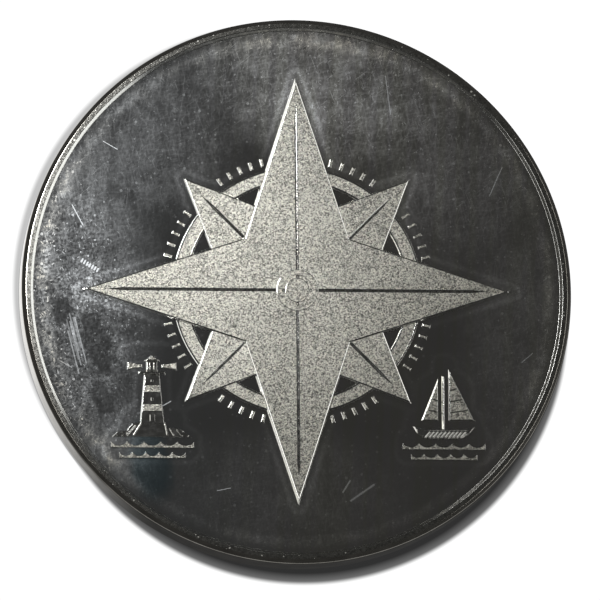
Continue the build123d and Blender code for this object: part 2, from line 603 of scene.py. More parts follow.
def sailing_boat():
    """Hull, sails, mast, battens and plank line above the waves, layer by layer."""
    across = picture_across
    hull_foot = -picture_drop + wave_rows * wave_pitch
    sail_foot = hull_foot + hull_depth + sail_lift
    near = mast_width / 2 + sail_gap
    masthead = hull_foot + mast_rise
    hull = [(x * hull_length, y * hull_depth) for x, y in hull_outline]
    mast = box_outline(-mast_width / 2, mast_width / 2, hull_foot + hull_depth / 2, masthead)
    mainsail = [(near, sail_foot), (near + main_foot, sail_foot), (near, sail_foot + main_rise)]
    jib = [(-near - jib_foot, sail_foot), (-near, sail_foot), (-near, sail_foot + jib_rise)]
    plank = [(x * hull_length, y * hull_depth) for x, y in plank_line]
    lower = [
        raised(hull, middle_height, POLISH, (across, hull_foot)),
        raised(mainsail, middle_height, FROST, (across, 0)),
        raised(jib, middle_height, FROST, (across, 0)),
    ]
    upper = [raised(mast, front_height, POLISH, (across, 0))]
    inside = near + 2 * fine_round
    lines = battens(main_foot, main_rise, inside, sail_foot, main_battens)
    lines += battens(jib_foot, jib_rise, -inside, sail_foot, jib_battens)
    details = [detail(line, middle_height, POLISH, (across, 0)) for line in lines]
    details.append(detail(stroke(*plank), middle_height, POLISH, (across, hull_foot)))
    for rib in ribs():
        details.append(detail(rib, middle_height, POLISH, (across, hull_foot)))
    return lower, upper, details


def as_object(bm, name, materials):
    """Puts a form into the scene, with its materials in its slots."""
    mesh = bpy.data.meshes.new(name)
    bm.to_mesh(mesh)
    bm.free()
    for material in materials:
        mesh.materials.append(material)
    made = bpy.data.objects.new(name, mesh)
    bpy.context.scene.collection.objects.link(made)
    return made


def joined(forms):
    """One form of several that lie clear of each other."""
    whole = bmesh.new()
    mesh = bpy.data.meshes.new("form")
    for form in forms:
        form.to_mesh(mesh)
        form.free()
        whole.from_mesh(mesh)
    bpy.data.meshes.remove(mesh)
    return whole


def settle(made):
    """Turns an object's modifiers into its mesh."""
    seen = made.evaluated_get(bpy.context.evaluated_depsgraph_get())
    before = made.data
    after = bpy.data.meshes.new_from_object(seen)
    made.modifiers.clear()
    made.data = after
    bpy.data.meshes.remove(before)


def combine(base, form, operation="UNION"):
    """Fuses a form to a base, or cuts it away, and uses the form up."""
    tool = as_object(form, "tool", base.data.materials)
    change = base.modifiers.new("combine", "BOOLEAN")
    change.operation = operation
    change.solver = "MANIFOLD"
    change.object = tool
    settle(base)
    bpy.data.objects.remove(tool)


def relief(finishes):
    """Everything that stands on the field, as one closed form."""
    diagonal = rose_turn + 180 / point_count
    short_star = star_outline(short_reach, short_waist, diagonal)
    long_star = star_outline(long_reach, long_waist, rose_turn)
    short_points = raised(short_star, short_height, FROST, lean=bold_lean, softness=bold_round)
    long_points = raised(long_star, long_height, FROST, lean=bold_lean, softness=bold_round)
    made = as_object(short_points, "relief", finishes)
    for cutter in grooves(short_reach, short_height, diagonal):
        combine(made, cutter, "DIFFERENCE")
    combine(made, long_points)
    for cutter in grooves(long_reach, long_height, rose_turn):
        combine(made, cutter, "DIFFERENCE")
    combine(made, boss())
    combine(made, ring())
    combine(made, joined(ticks() + waves(-picture_across) + waves(picture_across)))
    for left, right in zip(lighthouse(), sailing_boat()):
        combine(made, joined(left + right))
    return made


def coin(finishes):
    """The whole coin as one closed mesh, in metres."""
    made = as_object(blank(), "coin", finishes)
    forms = relief(finishes)
    bm = bmesh.new()
    bm.from_mesh(forms.data)
    bpy.data.objects.remove(forms)
    combine(made, bm)
    made.data.shade_smooth()
    made.data.set_sharp_from_angle(angle=smooth_turn)
    # Large faces stay flat right up to the roundings beside them
    weigh = made.modifiers.new("weigh", "WEIGHTED_NORMAL")
    weigh.mode = "FACE_AREA"
    weigh.weight = 100
    weigh.keep_sharp = True
    settle(made)
    made.data.transform(Matrix.Scale(MM, 4))
    return made


# Finishes

# Names of the shader nodes that are used most
MATH = "ShaderNodeMath"
VECTOR = "ShaderNodeVectorMath"
RANGE = "ShaderNodeMapRange"
NOISE = "ShaderNodeTexNoise"
VORONOI = "ShaderNodeTexVoronoi"
MIX = "ShaderNodeMix"
MAPPING = "ShaderNodeMapping"
SEPARATE = "ShaderNodeSeparateXYZ"
SMOOTH = {"interpolation_type": "SMOOTHSTEP"}

# Below, sizes are in millimetres and angles in degrees from +X. A range holds two values of a pattern
# and what they become. An edge holds the shares of a patch's reach at which it starts and is full

# Soft patches of haze on the field: middle across and up, half width, half height, turn, strength
haze_patches = [
    (-19.5, 1.0, 8.5, 17.0, 0, 0.138),
    (-13.0, 12.5, 13.0, 8.0, 35, 0.065),
    (-17.0, -10.5, 5.0, 9.0, 28, 0.14),
    (4.0, 17.5, 15.0, 8.0, -12, 0.205),
    (14.0, 10.0, 9.0, 9.0, 0, 0.10),
    (19.0, -3.0, 6.0, 14.0, 0, 0.075),
    (-1.0, -17.0, 12.0, 6.0, 0, 0.045),
]
haze_edge = (1.15, 0.25)
rim_haze = 0.03         # a lighter band just inside the rim
rim_haze_share = 0.8    # how much more it shows where the field is hazy
rim_haze_inset = 0.85   # from the rim to its middle
rim_haze_width = 0.7

# Spots that something wiped clear: middle across and up, half width, half height, turn
wiped_spots = [
    (-19.1, -1.9, 0.9, 1.1, 10),
    (-16.4, -4.2, 1.1, 2.6, 15),
    (-15.9, -8.9, 0.8, 1.5, 20),
]
wiped_share = 0.30      # how much of the haze is left there
wiped_size = 0.9        # of the noise that makes their edges ragged
wiped_ragged = 1.2      # how far it does, as a share of a spot's reach
wiped_edge = (1.45, 1.75)       # with that noise added

# Where the field is most flecked and mottled: middle across and up, half width, half height, turn
worn_patch = (-20.0, -3.0, 7.0, 10.5, 0)
worn_edge = (1.3, 0.6)
worn_least = 0.35       # share of that elsewhere

# Pattern of the haze: clouds, long upright wipes, and fine mottle where the field is worn
cloud_size = 2.4
cloud_range = (0.42, 0.60, 0.60, 1.30)
wipe_angle = 88         # the polisher wiped almost straight up and down
wipe_size = (wipe_angle, 0.7, 8.0)      # with width across and length along
wipe_range = (0.38, 0.62, 0.82, 1.18)
mottle_size = 0.2
mottle_range = (0.38, 0.64, 0.25, 1.6)
mottle_calm = 0.9       # in its place where the field isn't worn

# Wipe marks: angle, width across, length along
wipe_marks = [
    (72, 0.17, 0.9),
    (101, 0.17, 1.1),
    (12, 0.18, 0.7),
]
wipe_mark_range = (0.48, 0.74, 0, 0.55)

# Hairlines: angle, width across, length along. Real ones are finer. They are drawn one pixel of the
# picture wide, so that they still show
hairlines = [
    (38, 0.07, 2.0),
    (111, 0.07, 2.6),
    (84, 0.07, 4.0),
]
hair_range = (0.69, 0.77, 0, 1.4)

# The plain back: its faint clouds, and the same hairlines
back_cloud_size = 6.0
back_cloud_range = (0.40, 0.65, 0.03, 0.12)
back_hair_range = (0.62, 0.76, 0, 0.25)

# Scratches that stand out: middle across and up, length, angle, width, strength
scratches = [
    (-11.6, -9.9, 2.8, 30, 0.05, 1.0),
    (-17.9, 6.1, 1.9, 118, 0.05, 0.9),
    (-15.2, 11.9, 1.3, 150, 0.045, 0.8),
    (-18.9, -6.2, 1.1, 150, 0.05, 0.6),
    (-6.1, -16.4, 1.1, 12, 0.05, 0.9),
    (5.2, -16.6, 2.3, 35, 0.12, 0.4),
    (3.9, -16.1, 1.1, 58, 0.10, 0.4),
    (16.4, 9.2, 2.6, 66, 0.045, 0.7),
    (7.6, 16.3, 3.2, 97, 0.05, 0.6),
    (18.8, -5.4, 1.2, 40, 0.045, 0.7),
]
scratch_core = 0.25     # share of its width where a scratch is at full strength

# A bundle of streaks on the left: middle across and up, length, angle, width of the bundle, number
streaks = (-18.1, -4.3, 3.8, 104, 0.8, 8)
streak_width = 0.08
streak_strength = 0.45
streak_shift = 0.25     # most that one lies along from the bundle's middle, as a share of the length
streak_shares = (0.7, 0.3)      # mean length and strength of one, as a share of the most, and its swing
streak_beats = (2.4, 1.7)       # steps in radians of the waves that give each its shift and its share

# A row of short dents where a reeded edge knocked the field: first middle, step, number, and then
# the length, angle, width and strength of one
chatter_start = (-17.55, 2.35)
chatter_step = (0.21, -0.13)
chatter_count = 7
chatter_mark = (0.24, 62, 0.085, 4.0)

# Flecks, the short ends of wiping: angle, width, length
fleck_marks = [
    (98, 0.09, 0.34),
    (64, 0.08, 0.26),
    (22, 0.08, 0.24),
    (132, 0.08, 0.30),
]
fleck_share = 0.17      # how much of its cell the largest fleck reaches across
fleck_rarity = 0.66     # share of the cells without one
fleck_faint = 0.2       # strength of the faintest
fleck_gain = 4.5        # how much brighter than the haze round it a fleck is

# Specks of dust and tiny pits: spacing, radius
speck_sizes = [
    (0.55, 0.075),
    (1.3, 0.12),
]
speck_rarity = 0.72
speck_gain = 4.5
speck_least = 0.05      # strength of a speck where there is no haze

# Forms that the polisher kept clear of: middle across and up, half width, half height, rounding
halo_forms = [
    (-11.9, -12.8, 2.9, 0.4, 0.5),
    (-11.9, -11.2, 1.6, 0.4, 0.6),
    (-11.9, -8.4, 0.3, 2.6, 0.6),
    (-11.9, -5.3, 1.8, 0.1, 0.2),
    (11.9, -12.8, 2.9, 0.4, 0.5),
    (11.9, -11.0, 2.2, 0.2, 0.5),
    (12.0, -9.0, 0.9, 0.9, 0.9),
    (12.0, -7.2, 0.1, 1.1, 0.4),
]
halo_away = 0.50        # from a form's foot to the middle of its halo
halo_width = 0.42
halo_blend = 0.8        # neighbouring halos run together over this distance
halo_waver = 0.22       # how far a halo wanders
halo_waves = 1.1        # and how often, to the millimetre
halo_strength = 0.02
halo_share = 1.5        # how much more it shows where the field is hazy
glow_width = 2.2        # a fainter halo reaches this far
glow_share = 0.3

# The field's shader, from a clear mirror to a fully hazed spot
mirror_roughness = 0.09
haze_roughness = 0.34
haze_film = 0.62        # share of a fully hazed spot that a dull film hides

# The film turns from bluish to brownish in patches, this close to the rim
brown_width = 3.0
brown_size = 1.6
brown_range = (0.40, 0.58, 0.25, 1)

# The bare metal: where across the coin a painted cool reflection starts and is strongest, and its soft
# bands
cool_reflection_fade = (4, -14)
band_size = (wipe_angle, 0.7, 14.0)     # with width across and length along
band_range = (0.40, 0.60, 0, 1)

# A bluish patch that tints the metal: middle across and up, half width, half height, turn
blue_patch = (-12.1, -14.2, 1.7, 3.2, 12)
blue_patch_size = 1.2        # of the noise that makes its edge ragged
blue_patch_ragged = 0.4
blue_patch_edge = (1.45, 0.85)       # with that noise added

# Sandblasted silver. The grit is about 0.06 mm. It is drawn at 0.09 mm, so that single grains still show
grit_size = 0.09
pit_range = (0.34, 0.58, 0.52, 1)
grain_range = (0.0, 1.0, 0.18, 1.42)
blast_size = 4.0        # of the soft clouds in it
blast_range = (0.35, 0.65, 0.88, 1)
grain_share = 0.8       # height of a whole grain beside that of the grit on it
grit_height = 0.10
frost_roughness = 0.38

# Polished relief, rubbed unevenly: size of the rubbed places, and range of their roughness
rub_size = 0.4
rub_range = (0.35, 0.7, 0.09, 0.20)

# Nicks in the rim: turn, distance in from the edge, radius
nicks = [
    (146.0, 0.62, 0.11),
    (151.5, 0.45, 0.09),
    (142.5, 0.70, 0.09),
    (317.0, 0.86, 0.14),
    (255.0, 0.50, 0.08),
    (248.0, 0.55, 0.07),
    (262.0, 0.42, 0.08),
    (49.0, 0.50, 0.10),
]
nick_size = 0.12        # of the noise that makes their edges ragged
nick_edge = (1.6, 1.1)

# The worn land: fine pits, and small specks with their spacing and radius
pit_size = 0.16
pit_depth = 0.018
land_range = (0.34, 0.64, 0.34, 0.78)
land_specks = (0.42, 0.07)
land_roughness = 0.25
spot_film = 0.7         # share of a nick or speck that dirt hides, and of a pale grain that is dulled

# Paler, duller grains on the left of the land: where they start and are full across the coin, and their
# strength
pale_grain_fade = (-18.5, -21.5)
pale_grain_strength = 0.45
pale_grain_range = (0.42, 0.56, 0, 1)

# The satin edge: its lines to the millimetre along X, Y and Z, and its patches of tarnish
edge_lines = (0.5, 0.5, 9)
tarnish_size = 1.5
tarnish_range = (0.12, 0.40, 0, 1)
edge_roughness = (0.17, 0.11)   # where it is tarnished most and least


def linear(code):
    """An sRGB hex colour as linear red, green, blue and alpha."""
    shares = [int(code[start:start + 2], 16) / 255 for start in (1, 3, 5)]
    return [c / 12.92 if c <= 0.04045 else ((c + 0.055) / 1.055) ** 2.4 for c in shares] + [1]


def connect(tree, made, inputs):
    """Sets a node's inputs or links them to nodes, by name, or in the order in which they show."""
    sockets = made.inputs
    if not isinstance(inputs, dict):
        inputs = dict(enumerate(inputs))
        sockets = [socket for socket in made.inputs if socket.enabled]
    for key, value in inputs.items():
        if isinstance(value, bpy.types.Node):
            value = next(socket for socket in value.outputs if socket.enabled)
        if isinstance(value, bpy.types.NodeSocket):
            tree.links.new(value, sockets[key])
        else:
            sockets[key].default_value = value


def add(tree, kind, inputs=(), **settings):
    """Adds a node with its settings and links."""
    made = tree.nodes.new(kind)
    for name, value in settings.items():
        setattr(made, name, value)
    connect(tree, made, inputs)
    return made


def metal(name):
    """A new material of bare metal, with its node tree and its shader."""
    made = bpy.data.materials.new(name)
    made.use_nodes = True
    shader = made.node_tree.nodes["Principled BSDF"]
    shader.inputs["Metallic"].default_value = 1
    return made, made.node_tree, shader


def in_mm(tree):
    """Where a point lies, in millimetres."""
    place = add(tree, "ShaderNodeTexCoord").outputs["Object"]
    return add(tree, VECTOR, (place, 1 / MM), operation="SCALE")


def strokes(tree, place, angle, width, length):
    """Noise drawn out into strokes at an angle."""
    inputs = {"Vector": place, "Rotation": (0, 0, math.radians(angle)), "Scale": (length, width, 1)}
    turned = add(tree, MAPPING, inputs, vector_type="TEXTURE")
    return add(tree, NOISE, {"Vector": turned, "Scale": 1, "Detail": 1})


def hairs(tree, place, shown):
    """The brightest hairline at a point, where shown is the range of the noise that becomes one."""
    total = 0.0
    for hairline in hairlines:
        hair = add(tree, RANGE, (strokes(tree, place, *hairline), *shown), **SMOOTH)
        total = add(tree, MATH, (total, hair), operation="MAXIMUM")
    return total


def flat_distance(tree, place, middle=(0, 0)):
    """Distance in the plane of the coin from a point."""
    level = add(tree, VECTOR, (place, (1, 1, 0)), operation="MULTIPLY")
    return add(tree, VECTOR, (level, (*middle, 0)), operation="DISTANCE")


def bar_distance(tree, place, middle, half_width, half_height, rounding=0.0):
    """Distance outwards from a bar with rounded corners."""
    moved = add(tree, VECTOR, (place, (*middle, 0)), operation="SUBTRACT")
    folded = add(tree, VECTOR, (moved,), operation="ABSOLUTE")
    beyond = add(tree, VECTOR, (folded, (half_width, half_height, 0)), operation="SUBTRACT")
    outside = add(tree, VECTOR, (beyond, (0, 0, 0)), operation="MAXIMUM")
    distance = flat_distance(tree, outside)
    return add(tree, MATH, (distance, rounding), operation="SUBTRACT")


def patch_distance(tree, place, across, up, half_width, half_height, turn):
    """Distance from the middle of an oval patch on the upper face: 1 at its edge."""
    inputs = {
        "Vector": place,
        "Location": (across, up, coin_thickness),
        "Rotation": (0, 0, math.radians(turn)),
        "Scale": (half_width, half_height, coin_thickness),
    }
    moved = add(tree, MAPPING, inputs, vector_type="TEXTURE")
    return add(tree, VECTOR, (moved,), operation="LENGTH")


def star_distance(tree, place, reach, waist, turn):
    """Distance outwards from the sides of a star of four points, with rounded tips."""
    turned = add(tree, "ShaderNodeVectorRotate", {"Vector": place, "Angle": math.radians(-turn)})
    folded = add(tree, VECTOR, (turned,), operation="ABSOLUTE")
    parts = add(tree, SEPARATE, (folded,))
    along = add(tree, MATH, (parts.outputs["X"], parts.outputs["Y"]), operation="MAXIMUM")
    aside = add(tree, MATH, (parts.outputs["X"], parts.outputs["Y"]), operation="MINIMUM")
    notch = Vector(polar(waist, 180 / point_count))
    across = Vector((notch.y, reach - notch.x)).normalized()
    side = add(tree, MATH, (along, across.x, -reach * across.x), operation="MULTIPLY_ADD")
    side = add(tree, MATH, (aside, across.y, side), operation="MULTIPLY_ADD")
    beyond = add(tree, MATH, (along, reach), operation="SUBTRACT")
    return add(tree, MATH, (side, beyond, halo_blend), operation="SMOOTH_MAX")


def halo(tree, place):
    """Where the polisher could not reach: a soft pale band round every form."""
    from_ring = add(tree, MATH, (flat_distance(tree, place), ring_radius), operation="SUBTRACT")
    from_ring = add(tree, MATH, (from_ring,), operation="ABSOLUTE")
    nearest = add(tree, MATH, (from_ring, ring_width / 2), operation="SUBTRACT")
    # The long star looks the same at each quarter turn, so it isn't turned here
    stars = ((long_reach, long_waist, 0), (short_reach, short_waist, 180 / point_count))
    forms = [star_distance(tree, place, *star) for star in stars]
    for across, up, *size in halo_forms:
        forms.append(bar_distance(tree, place, (across, up), *size))
    for form in forms:
        nearest = add(tree, MATH, (nearest, form, halo_blend), operation="SMOOTH_MIN")
    waver = add(tree, NOISE, {"Vector": place, "Scale": halo_waves, "Detail": 2})
    nearest = add(tree, MATH, (waver, halo_waver, nearest), operation="MULTIPLY_ADD")
    offset = add(tree, MATH, (nearest, halo_away + halo_waver / 2), operation="SUBTRACT")
    offset = add(tree, MATH, (offset,), operation="ABSOLUTE")
    line = add(tree, RANGE, (offset, halo_width, 0, 0, 1), **SMOOTH)
    glow = add(tree, RANGE, (nearest, glow_width, 0, 0, glow_share), **SMOOTH)
    return add(tree, MATH, (line, glow), operation="MAXIMUM")


def streak_bundle():
    """Fine parallel streaks that differ in length and strength, in the form of scratches."""
    across, up, length, angle, width, number = streaks
    mean, swing = streak_shares
    shift_beat, share_beat = streak_beats
    way = Vector(polar(1, angle))
    marks = []
    for index in range(number):
        aside = width * (index / (number - 1) - 0.5)
        along = length * streak_shift * math.sin(shift_beat * index)
        middle = Vector((across, up)) + way * along + way.orthogonal() * aside
        share = mean + swing * math.cos(share_beat * index)
        marks.append((*middle, length * share, angle, streak_width, streak_strength * share))
    return marks


def dents():
    """The row of short dents, in the form of scratches."""
    marks = []
    for index in range(chatter_count):
        across = chatter_start[0] + index * chatter_step[0]
        up = chatter_start[1] + index * chatter_step[1]
        marks.append((across, up, *chatter_mark))
    return marks


def scratch_lines(tree, place):
    """The scratches that stand out, the streaks and the dents, each a thin bar."""
    total = 0.0
    for across, up, length, angle, width, strength in scratches + streak_bundle() + dents():
        inputs = {"Vector": place, "Center": (across, up, 0), "Angle": math.radians(-angle)}
        turned = add(tree, "ShaderNodeVectorRotate", inputs)
        distance = bar_distance(tree, turned, (across, up), length / 2, 0)
        line = add(tree, RANGE, (distance, width, width * scratch_core, 0, strength), **SMOOTH)
        total = add(tree, MATH, (total, line), operation="MAXIMUM")
    return total


def scattered(tree, place, scale, rarity, reach, faint=1):
    """Round marks, at most one to each cell, the faintest of them with a strength of faint."""
    cells = add(tree, VORONOI, {"Vector": place, "Scale": scale}, voronoi_dimensions="2D")
    chances = add(tree, "ShaderNodeSeparateColor", (cells.outputs["Color"],))
    size = add(tree, RANGE, (chances, rarity, 1, 0, reach), **SMOOTH)
    inside = add(tree, MATH, (cells, size), operation="LESS_THAN")
    strength = add(tree, RANGE, (chances.outputs["Green"], 0, 1, faint, 1))
    return add(tree, MATH, (inside, strength), operation="MULTIPLY")


def specks(tree, place, spacing, size):
    """Small round specks."""
    return scattered(tree, place, 1 / spacing, speck_rarity, size / spacing)


def flecks(tree, place, angle, width, length):
    """Short crisp strokes at an angle, some faint and some bright."""
    cell = (length / 2 / fleck_share, width / 2 / fleck_share, 1)
    inputs = {"Vector": place, "Rotation": (0, 0, math.radians(angle)), "Scale": cell}
    turned = add(tree, MAPPING, inputs, vector_type="TEXTURE")
    return scattered(tree, turned, 1, fleck_rarity, fleck_share, fleck_faint)


def haze_share(tree, place):
    """How strong the haze of handling is: most on the left, least low down and on the right."""
    total = 0.0
    for *patch, strength in haze_patches:
        distance = patch_distance(tree, place, *patch)
        spread = add(tree, RANGE, (distance, *haze_edge, 0, strength), **SMOOTH)
        total = add(tree, MATH, (total, spread), operation="MAXIMUM")
    ragged = add(tree, NOISE, {"Vector": place, "Scale": 1 / wiped_size, "Detail": 3})
    for spot in wiped_spots:
        distance = patch_distance(tree, place, *spot)
        distance = add(tree, MATH, (ragged, wiped_ragged, distance), operation="MULTIPLY_ADD")
        left = add(tree, RANGE, (distance, *wiped_edge, wiped_share, 1), **SMOOTH)
        total = add(tree, MATH, (total, left), operation="MULTIPLY")
    band_radius = field_radius - rim_haze_inset
    away = add(tree, MATH, (flat_distance(tree, place), band_radius), operation="SUBTRACT")
    away = add(tree, MATH, (away,), operation="ABSOLUTE")
    strength = add(tree, MATH, (total, rim_haze_share, rim_haze), operation="MULTIPLY_ADD")
    band = add(tree, RANGE, (away, rim_haze_width, 0, 0, 1), **SMOOTH)
    return add(tree, MATH, (band, strength, total), operation="MULTIPLY_ADD")


def soft_haze(tree, place, share, worn):
    """The haze itself, with its clouds, wipes and mottle, its wipe marks, and the halos."""
    clouds = add(tree, NOISE, {"Vector": place, "Scale": 1 / cloud_size, "Detail": 5, "Roughness": 0.6})
    clouds = add(tree, RANGE, (clouds, *cloud_range), **SMOOTH)
    wipes = add(tree, RANGE, (strokes(tree, place, *wipe_size), *wipe_range), **SMOOTH)
    mottle = add(tree, NOISE, {"Vector": place, "Scale": 1 / mottle_size, "Detail": 2, "Roughness": 0.6})
    mottle = add(tree, RANGE, (mottle, *mottle_range), **SMOOTH)
    mottle = add(tree, MIX, (worn, mottle_calm, mottle))
    haze = share
    for pattern in (clouds, wipes, mottle):
        haze = add(tree, MATH, (haze, pattern), operation="MULTIPLY")
    for wipe_mark in wipe_marks:
        mark = add(tree, RANGE, (strokes(tree, place, *wipe_mark), *wipe_mark_range), **SMOOTH)
        haze = add(tree, MATH, (mark, share, haze), operation="MULTIPLY_ADD")
    band = add(tree, MATH, (share, halo_share, halo_strength), operation="MULTIPLY_ADD")
    band = add(tree, MATH, (band, mottle), operation="MULTIPLY")
    return add(tree, MATH, (halo(tree, place), band, haze), operation="MULTIPLY_ADD")


def crisp_marks(tree, place, share, worn):
    """The brightest scratch, hairline, fleck or speck at a point."""
    hair = add(tree, MATH, (hairs(tree, place, hair_range), share), operation="MULTIPLY")
    total = add(tree, MATH, (scratch_lines(tree, place), hair), operation="MAXIMUM")
    marked = add(tree, MATH, (share, worn), operation="MULTIPLY")
    bright = add(tree, MATH, (marked, fleck_gain), operation="MULTIPLY")
    dust = add(tree, MATH, (marked, speck_gain, speck_least), operation="MULTIPLY_ADD")
    marks = [(flecks(tree, place, *size), bright) for size in fleck_marks]
    marks += [(specks(tree, place, *size), dust) for size in speck_sizes]
    for mark, strength in marks:
        mark = add(tree, MATH, (mark, strength), operation="MULTIPLY")
        total = add(tree, MATH, (total, mark), operation="MAXIMUM")
    return total


def back_haze(tree, place):
    """The haze of the plain back: faint clouds and fine wiping marks."""
    clouds = add(tree, NOISE, {"Vector": place, "Scale": 1 / back_cloud_size, "Detail": 4})
    haze = add(tree, RANGE, (clouds, *back_cloud_range), **SMOOTH)
    return add(tree, MATH, (hairs(tree, place, back_hair_range), haze), operation="MAXIMUM")


def film_tint(tree, place):
    """The film's colour: bluish grey, and in patches brownish beside the rim."""
    brown_start = field_radius - brown_width
    outwards = add(tree, RANGE, (flat_distance(tree, place), brown_start, field_radius, 0, 1), **SMOOTH)
    patches = add(tree, NOISE, {"Vector": place, "Scale": 1 / brown_size, "Detail": 3})
    brown = add(tree, RANGE, (patches, *brown_range), **SMOOTH)
    brown = add(tree, MATH, (brown, outwards), operation="MULTIPLY")
    return add(tree, MIX, (brown, linear("#ced2d5"), linear("#d8d3c4")), data_type="RGBA")


def bare_and_reflected_tint(tree, place, across):
    """The metal's colour: faintly warm upright bands, one bluish patch, a painted cool reflection on the
    left.
    """
    bands = add(tree, RANGE, (strokes(tree, place, *band_size), *band_range), **SMOOTH)
    warm = add(tree, MIX, (bands, linear("#dddbd9"), linear("#dbdad2")), data_type="RGBA")
    # Painted reflection: the metal turns cooler towards the left
    leftwards = add(tree, RANGE, (across, *cool_reflection_fade, 0, 1), **SMOOTH)
    clear = add(tree, MIX, (leftwards, warm, linear("#dadddf")), data_type="RGBA")
    ragged = add(tree, NOISE, {"Vector": place, "Scale": 1 / blue_patch_size, "Detail": 3})
    distance = patch_distance(tree, place, *blue_patch)
    distance = add(tree, MATH, (ragged, blue_patch_ragged, distance), operation="MULTIPLY_ADD")
    in_blue_patch = add(tree, RANGE, (distance, *blue_patch_edge, 0, 1), **SMOOTH)
    return add(tree, MIX, (in_blue_patch, clear, linear("#b4cad3")), data_type="RGBA")


def hazed_mirror():
    """A mirror-polished field gone hazy: dark and clear on the right, wiped and scratched on the left."""
    made, tree, shader = metal("hazed mirror-polished silver")
    place = in_mm(tree)
    parts = add(tree, SEPARATE, (place,))
    share = haze_share(tree, place)
    distance = patch_distance(tree, place, *worn_patch)
    worn = add(tree, RANGE, (distance, *worn_edge, worn_least, 1), **SMOOTH)
    haze = soft_haze(tree, place, share, worn)
    marks = crisp_marks(tree, place, share, worn)
    haze = add(tree, MATH, (haze, marks), operation="ADD", use_clamp=True)
    above = add(tree, MATH, (parts.outputs["Z"], coin_thickness / 2), operation="GREATER_THAN")
    haze = add(tree, MIX, (above, back_haze(tree, place), haze))
    bare_and_reflected_colour = bare_and_reflected_tint(tree, place, parts.outputs["X"])
    film_colour = film_tint(tree, place)
    tint = add(tree, MIX, (haze, bare_and_reflected_colour, film_colour), data_type="RGBA")
    rough = add(tree, RANGE, (haze, 0, 1, mirror_roughness, haze_roughness))
    bare = add(tree, RANGE, (haze, 0, 1, 1, 1 - haze_film))
    connect(tree, shader, {"Base Color": tint, "Roughness": rough, "Metallic": bare})
    return made


def blasted_silver():
    """Silver struck from a sandblasted die: a dry, faintly warm white made of sparkling grains."""
    made, tree, shader = metal("sandblasted struck silver")
    place = in_mm(tree)
    grit = add(tree, NOISE, {"Vector": place, "Scale": 1 / grit_size, "Detail": 2, "Roughness": 0.6})
    cells = add(tree, VORONOI, {"Vector": place, "Scale": 1 / grit_size})
    grain = add(tree, "ShaderNodeSeparateColor", (cells.outputs["Color"],))
    pits = add(tree, RANGE, (grit, *pit_range), **SMOOTH)
    grains = add(tree, RANGE, (grain, *grain_range))
    level = add(tree, MATH, (pits, grains), operation="MULTIPLY")
    clouds = add(tree, NOISE, {"Vector": place, "Scale": 1 / blast_size, "Detail": 2})
    clouds = add(tree, RANGE, (clouds, *blast_range), **SMOOTH)
    level = add(tree, MATH, (level, clouds), operation="MULTIPLY", use_clamp=True)
    tint = add(tree, MIX, (level, linear("#000000"), linear("#ebe9de")), data_type="RGBA")
    height = add(tree, MATH, (grain, grain_share, grit), operation="MULTIPLY_ADD")
    bump = add(tree, "ShaderNodeBump", {"Height": height, "Strength": 1, "Distance": grit_height * MM})
    connect(tree, shader, {"Base Color": tint, "Normal": bump, "Roughness": frost_roughness})
    return made


def polished_relief():
    """Polished walls and fine relief: bright lines where they face the light, black where they don't."""
    made, tree, shader = metal("polished struck silver")
    place = in_mm(tree)
    rub = add(tree, NOISE, {"Vector": place, "Scale": 1 / rub_size, "Detail": 4, "Roughness": 0.65})
    tint = add(tree, MIX, (rub, linear("#d4d4d0"), linear("#f4f4f1")), data_type="RGBA")
    rough = add(tree, RANGE, (rub, *rub_range), **SMOOTH)
    connect(tree, shader, {"Base Color": tint, "Roughness": rough})
    return made


def nick_spots(tree, place):
    """The nicks in the rim, each a ragged spot."""
    start, full = nick_edge
    ragged = add(tree, NOISE, {"Vector": place, "Scale": 1 / nick_size, "Detail": 2})
    total = 0.0
    for turn, inwards, radius in nicks:
        distance = flat_distance(tree, place, polar(coin_radius - inwards, turn))
        distance = add(tree, MATH, (ragged, radius, distance), operation="MULTIPLY_ADD")
        spot = add(tree, RANGE, (distance, start * radius, full * radius, 0, 1), **SMOOTH)
        total = add(tree, MATH, (total, spot), operation="MAXIMUM")
    return total


def worn_land():
    """The rim's flat land, dulled by handling: grainy, pitted and nicked, so that it glitters."""
    made, tree, shader = metal("worn rim silver")
    place = in_mm(tree)
    pits = add(tree, NOISE, {"Vector": place, "Scale": 1 / pit_size, "Detail": 3, "Roughness": 0.7})
    across = add(tree, SEPARATE, (place,)).outputs["X"]
    leftwards = add(tree, RANGE, (across, *pale_grain_fade, 0, pale_grain_strength), **SMOOTH)
    pale_grains = add(tree, RANGE, (pits, *pale_grain_range), **SMOOTH)
    pale_grains = add(tree, MATH, (leftwards, pale_grains), operation="MULTIPLY")
    spots = nick_spots(tree, place)
    for more in (pale_grains, specks(tree, place, *land_specks)):
        spots = add(tree, MATH, (spots, more), operation="MAXIMUM")
    level = add(tree, RANGE, (pits, *land_range), **SMOOTH)
    level = add(tree, MATH, (level, spots), operation="MAXIMUM")
    tint = add(tree, MIX, (level, linear("#3d3c39"), linear("#efeee6")), data_type="RGBA")
    bump = add(tree, "ShaderNodeBump", {"Height": pits, "Strength": 1, "Distance": pit_depth * MM})
    bare = add(tree, RANGE, (spots, 0, 1, 1, 1 - spot_film))
    looks = {"Base Color": tint, "Normal": bump, "Metallic": bare, "Roughness": land_roughness}
    connect(tree, shader, looks)
    return made


